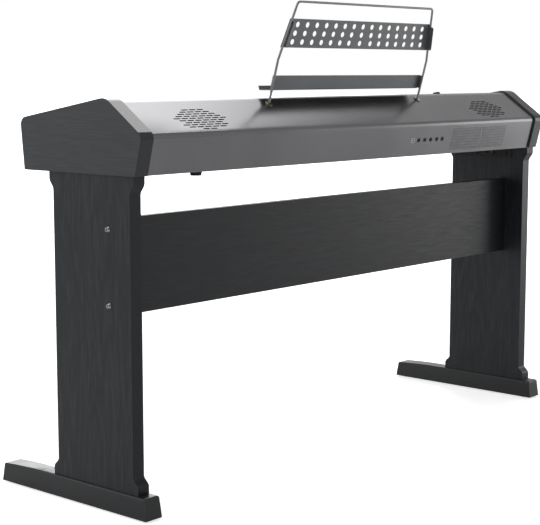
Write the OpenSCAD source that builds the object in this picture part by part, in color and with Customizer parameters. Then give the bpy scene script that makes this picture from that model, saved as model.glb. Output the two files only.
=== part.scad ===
// Digital piano with 88 keys on a panel stand, with a wire music rest.
// X runs along the keyboard, treble end positive. The player sits on the -Y side. Z = 0 is the floor.

/* [Case] */
// Outer length over both cheeks
case_l = 1380; // [1320:5:1700]
// Thickness of each cheek
cheek_t = 33; // [20:1:40]
// Front edge of the cheeks, ahead of the middle of the feet
front_reach = 133; // [128:1:180]
// How far the cheek's front edge leans back at its bottom
front_lean = 10; // [0:1:20]
// Height of the cheek's front edge
front_h = 99.5; // [96:0.5:120]
// Place of the ridge, behind the middle of the feet
ridge_y = 111; // [105:1:140]
// Height of the ridge above the underside
ridge_h = 142; // [136:1:180]
// Place of the rear corner, behind the middle of the feet
corner_y = 206; // [200:1:230]
// Height of the rear corner above the underside
corner_h = 75; // [68:1:90]
// Place of the rear bottom edge, behind the middle of the feet
bottom_y = 187; // [182:1:205]
// How far the cover and the control panel lie inside the cheeks' edges
cover_inset = 4.5; // [2:0.5:8]
// Thickness of the sheet metal cover
sheet_t = 1.2; // [0.8:0.1:2]
// Thickness of the moulded control panel
panel_t = 2.5; // [2:0.5:4]
// Thickness of the base board
base_t = 12; // [9:1:18]

/* [Keyboard] */
// Width of one white key with its gap
key_pitch = 23.6; // [19:0.1:24]
// Gap between two keys
key_gap = 1; // [0.6:0.1:1.4]
// Height of the white keys' tops above the underside
key_top_h = 75; // [73:1:80]
// Thickness of a white key
key_t = 20; // [16:1:22]
// Front ends of the white keys, ahead of the middle of the feet
key_reach = 103; // [98:1:104]
// Length of a white key that shows
key_show_l = 150; // [140:1:152]
// Length of a white key's wide front part
key_head_l = 50; // [46:1:54]
// Length of a black key that shows
black_l = 95; // [85:1:98]
// Height of a black key above the white ones
black_rise = 12; // [10:0.5:13]
// Width of a black key at its foot
black_w = 11.6; // [9:0.2:12]
// Width of a black key at its top
black_top_w = 9.6; // [7:0.2:10]
// Distance from a white key's front end to the pivot rod
key_arm = 210; // [205:1:212]
// Diameter of the pivot rod
rod_d = 4; // [3:0.5:6]
// Travel of a white key at its front end
key_travel = 9.9; // [8:0.1:10]

/* [Stand] */
// Height of the stand, floor to the underside of the case
stand_h = 638; // [520:1:780]
// Thickness of a leg panel
leg_t = 28; // [18:1:30]
// How far a leg lies inside the cheek's outer face
leg_inset = 3; // [0:1:6]
// Front edge of a leg, ahead of the middle of the feet
leg_front = 42; // [30:1:60]
// Back edge of a leg, behind the middle of the feet
leg_back = 170; // [150:1:175]
// Flare of a leg on each edge at its top
flare_top = 11; // [0:1:12]
// Flare of a leg on each edge at its bottom
flare_bottom = 13; // [0:1:20]
// Length of a foot
foot_l = 420; // [390:5:520]
// Width of a foot
foot_w = 42; // [38:1:60]
// Height of a foot with its glides
foot_h = 44; // [38:1:60]
// Drop of a foot's top towards its front tip
foot_drop = 5; // [0:1:10]
// Thickness of the glides under the feet
glide_t = 2.5; // [2:0.5:5]
// Height of the modesty panel
modesty_h = 184; // [120:1:260]
// Gap between the modesty panel and the case
modesty_drop = 80; // [40:1:120]
// Thickness of the modesty panel
modesty_t = 16; // [12:1:22]
// Centre of the modesty panel, behind the middle of the feet
modesty_y = 110; // [80:1:130]
// Diameter of the panel bolts' shanks
bolt_d = 6; // [5:1:8]

/* [Sockets and speakers] */
// Centre of each speaker, from the middle of the case
speaker_x = 494; // [420:1:520]
// Centre of each speaker, down the slope from the ridge
speaker_s = 67; // [64:1:68]
// Length of the oval grille
grille_l = 138; // [110:1:146]
// Width of the oval grille
grille_w = 65; // [50:1:66]
// Bore of the jack sockets
jack_bore = 6.4; // [6.4:0.1:6.8]
// Distance between two jack sockets
jack_pitch = 23.3; // [18:0.1:30]
// First jack socket, from the middle of the case
jack_x = -178; // [-240:1:-120]
// Sockets, down the back from the rear corner
jack_s = 39; // [30:1:44]

/* [Music rest] */
// Diameter of the rest's wire
wire_d = 5; // [4:0.5:6]
// Distance of each socket from the middle of the case
rest_x = 258; // [220:1:300]
// Sockets of the rest, down the slope from the ridge
rest_s = 21.9; // [18:0.1:26]
// Lean of the rest from upright, in degrees
rest_lean = 15.7; // [8:0.1:25]
// Length of wire above the slope, to the top bar
rest_l = 210.9; // [190:0.1:260]
// Length of wire from the slope to the bend where it starts to taper
rest_bend_l = 90.8; // [70:0.1:100]
// Half width of the top bar
rest_top_x = 233.4; // [200:0.1:258]
// Height of the perforated plate
plate_h = 60; // [44:1:70]
// Start of the perforated plate above the slope, along the wire
plate_start = 115.2; // [105:0.1:125]
// Thickness of the rest's sheet metal
rest_sheet_t = 1.2; // [1:0.1:2]
// Diameter of the holes in the plate
plate_hole_d = 11.5; // [6:0.5:13]
// Depth of the ledge that carries the music
ledge_depth = 28; // [20:1:36]
// Height of the ledge's lip
lip_h = 8.5; // [5:0.5:15]

/* [Fits] */
// Clearance round each key's pivot, on the radius
pivot_clear = 0.1; // [0.05:0.01:0.15]
// Clearance round a button or the knob's shaft
button_clear = 0.35; // [0.3:0.05:0.6]
// Clearance round screws, bolts and fittings, on the radius
screw_clear = 0.2; // [0.1:0.05:0.4]
// Clearance round the rest's wire in its sockets, on the radius
wire_clear = 0.3; // [0.3:0.05:0.5]

/* [Hidden] */
$fn = 48;

// ---- Outline of the case, as [y, z], from the front bottom edge round to the rear bottom edge
front_bottom = [front_lean - front_reach, stand_h];
front_top = [-front_reach, stand_h + front_h];
ridge = [ridge_y, stand_h + ridge_h];
corner = [corner_y, stand_h + corner_h];
rear_bottom = [bottom_y, stand_h];
inner_x = case_l / 2 - cheek_t;

function unit(v) = v / norm(v);
function right_of(u) = [u.y, -u.x];
function cross2(u, v) = u.x * v.y - u.y * v.x;
function reversed(list) = [for (i = [len(list) - 1:-1:0]) list[i]];

// Corner b of the path a, b, c, moved to the right of the path by d
function inset_corner(a, b, c, d) =
  let (n1 = right_of(unit(b - a)), n2 = right_of(unit(c - b)))
  b + d * (n1 + n2) / (1 + n1 * n2);

// Points of the arc that rounds corner b with radius r
function arc_at(a, b, c, r, steps = 14) =
  let (
    u = unit(b - a),
    v = unit(c - b),
    turn = atan2(cross2(u, v), u * v),
    side = sign(turn),
    centre = b - u * r * tan(abs(turn) / 2) - side * r * right_of(u),
    start = atan2(side * right_of(u).y, side * right_of(u).x)
  )
  [for (i = [0:steps]) centre + r * [cos(start + turn * i / steps), sin(start + turn * i / steps)]];

// A closed outline with each corner rounded by its own radius
function rounded(pts, radii) =
  let (n = len(pts))
  [for (i = [0:n - 1])
    each (radii[i] > 0 ? arc_at(pts[(i + n - 1) % n], pts[i], pts[(i + 1) % n], radii[i]) : [pts[i]])];

// An open path with its inner corners rounded
function rounded_path(pts, radii) =
  let (n = len(pts))
  [for (i = [0:n - 1])
    each (i > 0 && i < n - 1 && radii[i] > 0 ? arc_at(pts[i - 1], pts[i], pts[i + 1], radii[i]) : [pts[i]])];

// The same path moved to its right by d
function moved_path(pts, d) =
  let (n = len(pts))
  [for (i = [0:n - 1])
    i == 0 ? pts[0] + d * right_of(unit(pts[1] - pts[0])) :
    i == n - 1 ? pts[i] + d * right_of(unit(pts[i] - pts[i - 1])) :
    inset_corner(pts[i - 1], pts[i], pts[i + 1], d)];

// Radii on the right side of a bent sheet of thickness t: less on a right turn, more on a left turn
function moved_radii(pts, radii, t) =
  let (n = len(pts))
  [for (i = [0:n - 1])
    i == 0 || i == n - 1 ? 0 :
    cross2(pts[i] - pts[i - 1], pts[i + 1] - pts[i]) < 0 ? radii[i] - t : radii[i] + t];

// Section of a bent sheet whose left face follows the path
function bent_sheet(pts, radii, t) =
  concat(rounded_path(pts, radii), reversed(rounded_path(moved_path(pts, t), moved_radii(pts, radii, t))));

// Extrudes a [y, z] outline along X, from x0 to x1
module along_x(x0, x1) {
  translate([x0, 0, 0])
    rotate([90, 0, 90])
      linear_extrude(x1 - x0)
        children();
}

module mirrored_x() {
  children();
  mirror([1, 0, 0])
    children();
}

// A cylinder along +X that starts at x0
module x_pin(x0, length, y, z, d) {
  translate([x0, y, z])
    rotate([0, 90, 0])
      cylinder(h = length, d = d);
}

// ---- Faces of the cover and the control panel
top_dir = unit(ridge - front_top);
slope_dir = unit(corner - ridge);
back_dir = unit(rear_bottom - corner);
cover_ridge = inset_corner(front_top, ridge, corner, cover_inset);
cover_corner = inset_corner(ridge, corner, rear_bottom, cover_inset);

// Height above the floor z of a face that lies d inside the back, as its y
function back_y(z, d) = bottom_y + (z - stand_h) * back_dir.x / back_dir.y + d / back_dir.y;

ridge_lap = 12;
ridge_r = 28;
corner_r = 12;
cover_start = cover_ridge - top_dir * ridge_lap;
cover_end = [back_y(stand_h, cover_inset), stand_h];
cover_path = [cover_start, cover_ridge, cover_corner, cover_end];
cover_radii = [0, ridge_r, corner_r, 0];

// Places children on the outside of the slope: +Z outwards, +Y down the slope
module on_slope(x, s) {
  p = cover_ridge + slope_dir * s;
  translate([x, p.x, p.y])
    rotate([atan2(slope_dir.y, slope_dir.x), 0, 0])
      children();
}

// Places children on the outside of the back: +Z outwards, +Y down the back
module on_back(x, s) {
  p = cover_corner + back_dir * s;
  translate([x, p.x, p.y])
    rotate([atan2(back_dir.y, back_dir.x), 0, 0])
      children();
}

// ---- Keyboard
white_count = 52;
octave_l = 7 * key_pitch;
slot_w = octave_l / 12;
keys_l = white_count * key_pitch;
keys_x0 = -keys_l / 2;
key_top = stand_h + key_top_h;
key_bottom = key_top - key_t;
base_top = stand_h + base_t;
pivot_y = key_arm - key_reach;
pivot_z = key_top - key_t / 2;
tail_past = 6;
tail_end = pivot_y + tail_past;
black_front = key_reach - key_show_l + black_l;
black_back_gap = 3;
fall_y = key_show_l - key_reach;
sweep = asin(key_travel / key_arm);
WHITE_SEMI = [0, 2, 4, 5, 7, 9, 11];
BLACK_SEMI = [1, 3, 6, 8, 10];
BLACK_ON_LEFT = [false, true, true, false, true, true, true];
BLACK_ON_RIGHT = [true, true, false, true, true, true, false];

function octave_x(octave) = keys_x0 + (octave - 1) * octave_l + 2 * key_pitch;

// Lowest point, at full travel, of a key's underside at a distance y from the middle
function pressed_z(y) = pivot_z - (pivot_y - y) * sin(sweep) - key_t / 2;

module pivot_bore(x0, length) {
  x_pin(x0, length, pivot_y, pivot_z, rod_d + 2 * pivot_clear);
}

// White key number i of an octave, where 0 is C
module white_key(octave, i, first = false, last = false) {
  x0 = octave_x(octave);
  head_l = x0 + i * key_pitch + key_gap / 2;
  head_r = x0 + (i + 1) * key_pitch - key_gap / 2;
  tail_l = BLACK_ON_LEFT[i] && !first ? x0 + WHITE_SEMI[i] * slot_w + key_gap / 2 : head_l;
  tail_r = BLACK_ON_RIGHT[i] && !last ? x0 + (WHITE_SEMI[i] + 1) * slot_w - key_gap / 2 : head_r;
  difference() {
    translate([0, 0, key_bottom])
      linear_extrude(key_t)
        union() {
          translate([head_l, -key_reach])
            square([head_r - head_l, key_head_l]);
          translate([tail_l, -key_reach + key_head_l / 2])
            square([tail_r - tail_l, tail_end + key_reach - key_head_l / 2]);
        }
    pivot_bore(head_l - 1, key_pitch + 2);
  }
}

// Black key at semitone s of an octave, where C is 0
module black_key(octave, s) {
  x = octave_x(octave) + (s + 0.5) * slot_w;
  black_top = key_top + black_rise;
  cap_end = fall_y - black_back_gap;
  nose = 6;
  difference() {
    union() {
      intersection() {
        along_x(x - black_w, x + black_w)
          polygon([
            [-black_front, key_bottom], [-black_front + 1, key_top + 2],
            [-black_front + nose, black_top], [cap_end, black_top], [cap_end, key_bottom]
          ]);
        translate([x, cap_end, 0])
          rotate([90, 0, 0])
            linear_extrude(cap_end + black_front)
              polygon([
                [-black_w / 2, key_bottom], [black_w / 2, key_bottom], [black_w / 2, key_top],
                [black_top_w / 2, black_top], [-black_top_w / 2, black_top], [-black_w / 2, key_top]
              ]);
      }
      translate([x - black_top_w / 2, cap_end - 1, key_bottom])
        cube([black_top_w, tail_end - cap_end + 1, key_t]);
    }
    pivot_bore(x - black_w, 2 * black_w);
  }
}

module white_key_color() {
  color("ivory")
    children();
}

module black_key_color() {
  color([0.06, 0.06, 0.07])
    children();
}

module white_keys_bass() {
  white_key_color() {
    white_key(0, 5, first = true);
    white_key(0, 6);
    for (octave = [1:3])
      for (i = [0:6])
        white_key(octave, i);
  }
}

module black_keys_bass() {
  black_key_color() {
    black_key(0, 10);
    for (octave = [1:3])
      for (s = BLACK_SEMI)
        black_key(octave, s);
  }
}

module white_keys_treble() {
  white_key_color() {
    for (octave = [5:7])
      for (i = [0:6])
        white_key(octave, i);
    white_key(8, 0, last = true);
  }
}

module black_keys_treble() {
  black_key_color()
    for (octave = [5:7])
      for (s = BLACK_SEMI)
        black_key(octave, s);
}

module key_c4() { white_key_color() white_key(4, 0); }
module key_c_sharp4() { black_key_color() black_key(4, 1); }
module key_d4() { white_key_color() white_key(4, 1); }
module key_d_sharp4() { black_key_color() black_key(4, 3); }
module key_e4() { white_key_color() white_key(4, 2); }
module key_f4() { white_key_color() white_key(4, 3); }
module key_f_sharp4() { black_key_color() black_key(4, 6); }
module key_g4() { white_key_color() white_key(4, 4); }
module key_g_sharp4() { black_key_color() black_key(4, 8); }
module key_a4() { white_key_color() white_key(4, 5); }
module key_a_sharp4() { black_key_color() black_key(4, 10); }
module key_b4() { white_key_color() white_key(4, 6); }

// ---- Key bed
frame_t = 2;
frame_back = tail_end + 5;
front_rail = [-key_reach + 5, -key_reach + 25];
mid_rail = [-50, 10];
bed_gap = 2.5;
end_bracket_t = 4;
rail_top = pressed_z(front_rail[0]) - bed_gap;
board_t = 1.6;
dome_y = -20;
dome_d = 9;
dome_top = pressed_z(dome_y - dome_d / 2) - 0.6;
dome_h = 10.8;
strip_t = 1.5;
board_top = dome_top - dome_h - strip_t;
case_screw_x = [-0.86, -0.29, 0.29, 0.86] * keys_l / 2;
case_screw_y = [-key_reach + 15, -20];
case_screw_d = 3.6;
case_screw_l = 14;

module key_frame() {
  color([0.55, 0.57, 0.6])
    difference() {
      union() {
        along_x(-keys_l / 2, keys_l / 2)
          union() {
            translate([front_rail[0], base_top])
              square([frame_back - front_rail[0], frame_t]);
            translate([front_rail[0], base_top])
              square([front_rail[1] - front_rail[0], rail_top - base_top]);
            translate([mid_rail[0], base_top])
              square([mid_rail[1] - mid_rail[0], board_top - board_t - base_top]);
            translate([frame_back - frame_t, base_top])
              square([frame_t, key_top - base_top - 2]);
          }
        mirrored_x()
          along_x(keys_l / 2 - 1, keys_l / 2 + 0.6 + end_bracket_t)
            translate([pivot_y + tail_past + 1, base_top])
              square([frame_back - tail_end - 1, key_top - base_top - 2]);
        mirrored_x()
          along_x(keys_l / 2 + 0.6, keys_l / 2 + 0.6 + end_bracket_t)
            translate([pivot_y - 10, base_top])
              square([frame_back - pivot_y + 10, key_top - base_top - 2]);
      }
      x_pin(-keys_l / 2 - 10, keys_l + 20, pivot_y, pivot_z, rod_d + 2 * pivot_clear);
      case_screw_holes(case_screw_d + 2 * screw_clear);
    }
}

module pivot_rod() {
  color([0.75, 0.76, 0.78])
    x_pin(-keys_l / 2 - end_bracket_t, keys_l + 2 * end_bracket_t, pivot_y, pivot_z, rod_d);
}

module contact_board() {
  color([0.1, 0.35, 0.2])
    translate([-keys_l / 2 + 2, mid_rail[0] + 2, board_top - board_t])
      cube([keys_l - 4, mid_rail[1] - mid_rail[0] - 4, board_t]);
}

module contact_strips() {
  strips = 4;
  domes = 22;
  dome_pitch = keys_l / (strips * domes);
  strip_l = domes * dome_pitch;
  color([0.82, 0.82, 0.78])
    for (k = [0:strips - 1])
      translate([keys_x0 + k * strip_l, dome_y, board_top]) {
        translate([2.5, -dome_d / 2 - 2, 0])
          cube([strip_l - 5, dome_d + 4, strip_t]);
        for (i = [0:domes - 1])
          translate([(i + 0.5) * dome_pitch, 0, 0])
            cylinder(h = dome_h + strip_t, d = dome_d, $fn = 24);
      }
}

module case_screw_holes(d) {
  for (x = case_screw_x)
    for (y = case_screw_y)
      translate([x, y, stand_h - 1])
        cylinder(h = base_t + case_screw_l + 1.5, d = d);
}

module case_screws() {
  color([0.3, 0.3, 0.32])
    for (x = case_screw_x)
      for (y = case_screw_y)
        translate([x, y, stand_h]) {
          translate([0, 0, -2.2])
            cylinder(h = 2.2, d = 8);
          cylinder(h = base_t + case_screw_l, d = case_screw_d);
        }
}

// ---- Case
slip_back = -key_reach - 4;
slip_h = 62;
pad_y = [-95, 162];
rubber_foot_x = 507;
rubber_foot_h = 8;
rubber_foot_d = 24;
cheek_radii = [0, 16, ridge_r + 6, 16, 0];

module cheek() {
  color([0.13, 0.13, 0.14])
    along_x(inner_x, case_l / 2)
      polygon(rounded([front_bottom, front_top, ridge, corner, rear_bottom], cheek_radii));
}

module cheek_right() {
  cheek();
}

module cheek_left() {
  mirror([1, 0, 0])
    cheek();
}

module base_board() {
  d = cover_inset + sheet_t;
  color([0.2, 0.2, 0.21])
    difference() {
      along_x(-inner_x, inner_x)
        polygon([
          [slip_back, stand_h], [back_y(stand_h, d), stand_h],
          [back_y(base_top, d), base_top], [slip_back, base_top]
        ]);
      case_screw_holes(case_screw_d + 2 * screw_clear);
      bracket_base_holes();
    }
}

module rubber_feet() {
  color([0.08, 0.08, 0.08])
    mirrored_x()
      for (y = pad_y)
        translate([rubber_foot_x, y, stand_h - rubber_foot_h])
          cylinder(h = rubber_foot_h, d1 = rubber_foot_d - 3, d2 = rubber_foot_d);
}

module key_slip() {
  lean = unit(front_top - front_bottom);
  slip_inset = 4;
  color([0.12, 0.12, 0.13])
    along_x(-inner_x, inner_x)
      polygon([
        front_bottom + [slip_inset, 0], front_bottom + [slip_inset, 0] + lean * slip_h / lean.y,
        [slip_back, stand_h + slip_h], [slip_back, stand_h]
      ]);
}

module end_blocks() {
  end_gap = 0.6;
  color([0.09, 0.09, 0.1])
    mirrored_x()
      translate([keys_l / 2 + end_gap, slip_back, base_top])
        cube([inner_x - keys_l / 2 - end_gap, fall_y + 5 - slip_back, key_top + 3 - base_top]);
}

slot_l = 17.8;
slot_gap = 3;
slot_w2 = 3.2;
row_pitch = 6.6;
rows = 10;

module slot_2d() {
  square([slot_l - slot_w2, slot_w2], center = true);
  for (side = [-1, 1])
    translate([side * (slot_l - slot_w2) / 2, 0])
      circle(d = slot_w2, $fn = 16);
}

// Short slots in staggered rows that fill the oval
module grille_2d() {
  pitch = slot_l + slot_gap;
  for (row = [0:rows - 1]) {
    y = (row - (rows - 1) / 2) * row_pitch;
    half = grille_l / 2 * sqrt(max(0, 1 - pow(2 * y / (grille_w + 3), 2)));
    shift = row % 2 == 0 ? 0 : pitch / 2;
    for (i = [-4:4])
      if (abs(i * pitch + shift) + slot_l / 2 < half + 3.5)
        translate([i * pitch + shift, y])
          slot_2d();
  }
}

module top_cover() {
  color([0.5, 0.51, 0.53])
    difference() {
      along_x(-inner_x, inner_x)
        polygon(bent_sheet(cover_path, cover_radii, sheet_t));
      for (side = [-1, 1])
        on_slope(side * speaker_x, speaker_s)
          translate([0, 0, -5])
            linear_extrude(10)
              grille_2d();
      for (i = [0:3])
        on_back(jack_x - i * jack_pitch, jack_s)
          translate([0, 0, -5])
            cylinder(h = 10, d = bush_d + 2 * screw_clear);
      on_back(dc_x, jack_s)
        translate([0, 0, -5])
          cylinder(h = 10, d = dc_d + 2 * screw_clear);
      on_back(usb_x, jack_s)
        cube([usb_size[0] + 2 * screw_clear, usb_size[1] + 2 * screw_clear, 10], center = true);
      mirrored_x()
        on_rest()
          translate([rest_x, -20, 0])
            rotate([-90, 0, 0])
              cylinder(h = 40, d = tube_d + 2 * screw_clear);
    }
}

// ---- Control panel
panel_corner_y = fall_y + 10;
seam = 0.6;

// Height of the control panel's outside at a given y
function panel_z(y) = cover_ridge.y + (y - cover_ridge.x) * top_dir.y / top_dir.x;

panel_low = [fall_y, key_top + 4.5];
panel_corner = [panel_corner_y, panel_z(panel_corner_y)];
panel_end = cover_start - top_dir * seam;
panel_path = [panel_low, panel_corner, panel_end];
control_v = 25;
button_size = [16, 9];
knob_x = -403;
knob_d = 18;
knob_h = 6.5;
knob_hole_d = 7;
shaft_d = 6;
power_x = -600;
metronome_x = -114;
voice_x = -88;
minus_x = 60;
plus_x = 86;
button_x = [power_x, metronome_x, voice_x, minus_x, plus_x];
button_travel = 1.2;
window_size = [64, 24];
panel_board_depth = 8;
panel_board_x = [-620, 110];
panel_posts = [-560, -440, -260, -160, 46, 104];

// Places children on the outside of the control panel: +Z outwards, +Y towards the ridge
module on_panel(x, v) {
  p = panel_corner + top_dir * v;
  translate([x, p.x, p.y])
    rotate([atan2(top_dir.y, top_dir.x), 0, 0])
      children();
}

module control_panel() {
  color([0.11, 0.11, 0.12])
    difference() {
      union() {
        along_x(-inner_x, inner_x)
          polygon(bent_sheet(panel_path, [0, 6, 0], panel_t));
        for (x = panel_posts)
          on_panel(x, control_v)
            translate([0, 0, -panel_board_depth])
              cylinder(h = panel_board_depth - panel_t / 2, d = 6);
      }
      for (x = button_x)
        on_panel(x, control_v)
          translate([0, 0, -panel_t])
            cube([button_size[0] + 2 * button_clear, button_size[1] + 2 * button_clear, 4 * panel_t],
              center = true);
      on_panel(knob_x, control_v)
        translate([0, 0, -panel_t - 1])
          cylinder(h = panel_t + 2, d = knob_hole_d);
      on_panel(0, control_v)
        cube([window_size[0], window_size[1], 3 * panel_t], center = true);
    }
}

module felt_strip() {
  felt_h = 3.2;
  felt_top = panel_low.y + panel_t * right_of(unit(panel_corner - panel_low)).y;
  color([0.5, 0.05, 0.08])
    translate([keys_x0, fall_y, felt_top - felt_h])
      cube([keys_l, 2.4, felt_h]);
}

module display_window() {
  rim = 4;
  color([0.05, 0.06, 0.07])
    on_panel(0, control_v) {
      translate([-window_size[0] / 2 - rim, -window_size[1] / 2 - rim, -panel_t - 1.5])
        cube([window_size[0] + 2 * rim, window_size[1] + 2 * rim, 1.5]);
      translate([-window_size[0] / 2 + screw_clear, -window_size[1] / 2 + screw_clear, -panel_t - 0.5])
        cube([window_size[0] - 2 * screw_clear, window_size[1] - 2 * screw_clear, panel_t + 0.2]);
    }
}

module panel_board() {
  color([0.1, 0.35, 0.2])
    difference() {
      union() {
        on_panel(0, control_v)
          translate([panel_board_x[0], -15, -panel_board_depth - board_t])
            cube([panel_board_x[1] - panel_board_x[0], 30, board_t]);
        on_panel(knob_x, control_v)
          translate([-6, -6, -panel_board_depth - board_t])
            cube([12, 12, board_t + 4.5]);
      }
      on_panel(knob_x, control_v)
        translate([0, 0, -panel_board_depth - 5])
          cylinder(h = 12, d = shaft_d + 2 * pivot_clear);
    }
}

// Push button: its foot hooks under the panel, its stem ends just above the board
module push_button(x) {
  hook = 1.5;
  proud = 2;
  stem_end = panel_board_depth - button_travel - 0.3;
  on_panel(x, control_v) {
    translate([-button_size[0] / 2, -button_size[1] / 2, -panel_t - 0.5])
      cube([button_size[0], button_size[1], panel_t + 0.5 + proud]);
    translate([-button_size[0] / 2 - hook, -button_size[1] / 2, -panel_t - 0.35 - 1.2])
      cube([button_size[0] + 2 * hook, button_size[1], 1.2]);
    translate([0, 0, -stem_end])
      cylinder(h = stem_end - panel_t, d = 4);
  }
}

module power_button() { color([0.6, 0.1, 0.1]) push_button(power_x); }
module metronome_button() { color([0.45, 0.46, 0.48]) push_button(metronome_x); }
module voice_button() { color([0.45, 0.46, 0.48]) push_button(voice_x); }
module minus_button() { color([0.45, 0.46, 0.48]) push_button(minus_x); }
module plus_button() { color([0.45, 0.46, 0.48]) push_button(plus_x); }

module volume_knob() {
  gap = 0.5;
  color([0.09, 0.09, 0.1])
    on_panel(knob_x, control_v)
      difference() {
        union() {
          translate([0, 0, gap])
            cylinder(h = knob_h - gap, d1 = knob_d, d2 = knob_d - 2);
          translate([0, 0, -panel_board_depth + 0.5])
            cylinder(h = panel_board_depth, d = shaft_d);
        }
        translate([-0.6, knob_d / 2 - 6, knob_h - 0.8])
          cube([1.2, 5.5, 2]);
      }
}

// ---- Sockets, boards and labels behind the back
bush_d = 8;
jack_ring_d = 9.6;
ring_h = 0.8;
jack_body = 13;
socket_depth = 30;
dc_x = jack_x - 4 * jack_pitch + 1;
dc_d = 8.4;
dc_bore = 6.2;
dc_pin_d = 2;
usb_x = jack_x + 22.5;
usb_size = [12, 11];
main_board_x = [dc_x - 16, usb_x + 16];
main_board_w = 36;

module socket_body(w, h) {
  translate([-w / 2, -h / 2, -sheet_t - socket_depth])
    cube([w, h, socket_depth]);
}

module jack_sockets() {
  color([0.07, 0.07, 0.08])
    for (i = [0:3])
      on_back(jack_x - i * jack_pitch, jack_s)
        difference() {
          union() {
            socket_body(jack_body, jack_body);
            translate([0, 0, -sheet_t - 1])
              cylinder(h = sheet_t + 1, d = bush_d);
            cylinder(h = ring_h, d = jack_ring_d);
          }
          translate([0, 0, -socket_depth + 2])
            cylinder(h = socket_depth + 2, d = jack_bore);
        }
}

module dc_socket() {
  color([0.08, 0.08, 0.09])
    on_back(dc_x, jack_s) {
      difference() {
        union() {
          socket_body(12, 12);
          translate([0, 0, -sheet_t - 1])
            cylinder(h = sheet_t + 1, d = dc_d);
          cylinder(h = ring_h, d = dc_d + 2);
        }
        translate([0, 0, -10])
          cylinder(h = 12, d = dc_bore);
      }
      translate([0, 0, -11])
        cylinder(h = 9.5, d = dc_pin_d, $fn = 24);
    }
}

module usb_socket() {
  color([0.85, 0.86, 0.88])
    on_back(usb_x, jack_s) {
      difference() {
        union() {
          translate([-usb_size[0] / 2, -usb_size[1] / 2, -sheet_t - socket_depth])
            cube([usb_size[0], usb_size[1], sheet_t + socket_depth + 0.3]);
          translate([-usb_size[0] / 2 - 2, -usb_size[1] / 2 - 2, -sheet_t - 1])
            cube([usb_size[0] + 4, usb_size[1] + 4, 1]);
        }
        translate([-4.2, -3.9, -9])
          cube([8.4, 7.8, 12]);
      }
      translate([-2.8, -1.6, -10])
        cube([5.6, 3.2, 9]);
    }
}

module main_board() {
  color([0.1, 0.35, 0.2])
    on_back(0, jack_s)
      translate([main_board_x[0], -main_board_w / 2, -sheet_t - socket_depth - board_t])
        cube([main_board_x[1] - main_board_x[0], main_board_w, board_t]);
}

module rating_labels() {
  label_t = 0.3;
  label_h = 52;
  label_s = 16;
  color([0.2, 0.2, 0.21])
    for (span = [[-429, -310], [-535, -434]])
      on_back(span[0], label_s)
        cube([span[1] - span[0], label_h, label_t]);
}

// ---- Speakers
cloth_t = 0.6;
basket_l = 144;
basket_w = 68;
basket_depth = 30;

module oval_2d(l, w) {
  square([l - w, w], center = true);
  for (side = [-1, 1])
    translate([side * (l - w) / 2, 0])
      circle(d = w);
}

module grille_cloths() {
  color([0.04, 0.04, 0.04])
    for (side = [-1, 1])
      on_slope(side * speaker_x, speaker_s)
        translate([0, 0, -sheet_t - cloth_t])
          linear_extrude(cloth_t)
            oval_2d(basket_l, basket_w);
}

module speaker_baskets() {
  z0 = -sheet_t - cloth_t;
  rim = 2.5;
  magnet_d = 36;
  magnet_h = 12;
  color([0.15, 0.15, 0.16])
    for (side = [-1, 1])
      on_slope(side * speaker_x, speaker_s) {
        translate([0, 0, z0 - rim])
          linear_extrude(rim)
            difference() {
              oval_2d(basket_l, basket_w);
              oval_2d(basket_l - 16, basket_w - 16);
            }
        for (arm = [-1, 1])
          translate([arm * 40 - 3, -basket_w / 2 + 2, z0 - basket_depth + magnet_h])
            cube([6, basket_w - 4, basket_depth - magnet_h - rim / 2 - 9]);
        for (arm = [-1, 1])
          for (edge = [-1, 1])
            translate([arm * 40 - 3, edge * (basket_w / 2 - 3.5) - 1.5, z0 - basket_depth + magnet_h])
              cube([6, 3, basket_depth - magnet_h - rim / 2]);
        translate([-43, -12, z0 - basket_depth + magnet_h])
          cube([86, 24, 3]);
        translate([0, 0, z0 - basket_depth])
          cylinder(h = magnet_h, d = magnet_d);
      }
}

module speaker_cones() {
  z0 = -sheet_t - cloth_t;
  cone_t = 1;
  color([0.06, 0.06, 0.06])
    for (side = [-1, 1])
      on_slope(side * speaker_x, speaker_s)
        translate([0, 0, z0 - 4])
          linear_extrude(cone_t + 0.5)
            oval_2d(basket_l - 12, basket_w - 12);
}

// ---- Stand
leg_out = case_l / 2 - leg_inset;
leg_in = leg_out - leg_t;
foot_mid_x = leg_out - leg_t / 2;
bolt_reach = 45;
bolt_head_d = 12;
bolt_head_h = 3.3;
bolt_margin = 20.5;
modesty_top = stand_h - modesty_drop;
bolt_z = [modesty_top - bolt_margin, modesty_top - modesty_h + bolt_margin];
cam_d = 15;
cam_depth = 12.5;
cam_up = 23;
cam_mid_y = (leg_back - leg_front) / 2;
cam_y = [cam_mid_y - 89, cam_mid_y + 89];
dowel_d = 7;
dowel_in_foot = 24;
cam_x = leg_in + cam_depth / 2;

function s_curve(u) = (1 - cos(180 * u)) / 2;

// One edge of a leg from bottom to top, as [flare, z]
function leg_edge() =
  let (steps = 8, low = foot_h + 15, rise = 18, high = stand_h - 35, top_rise = 22)
  concat(
    [[flare_bottom, foot_h]],
    [for (i = [0:steps]) [flare_bottom * s_curve(1 - i / steps), low + rise * i / steps]],
    [for (i = [0:steps]) [flare_top * s_curve(i / steps), high + top_rise * i / steps]],
    [[flare_top, stand_h]]
  );

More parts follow.
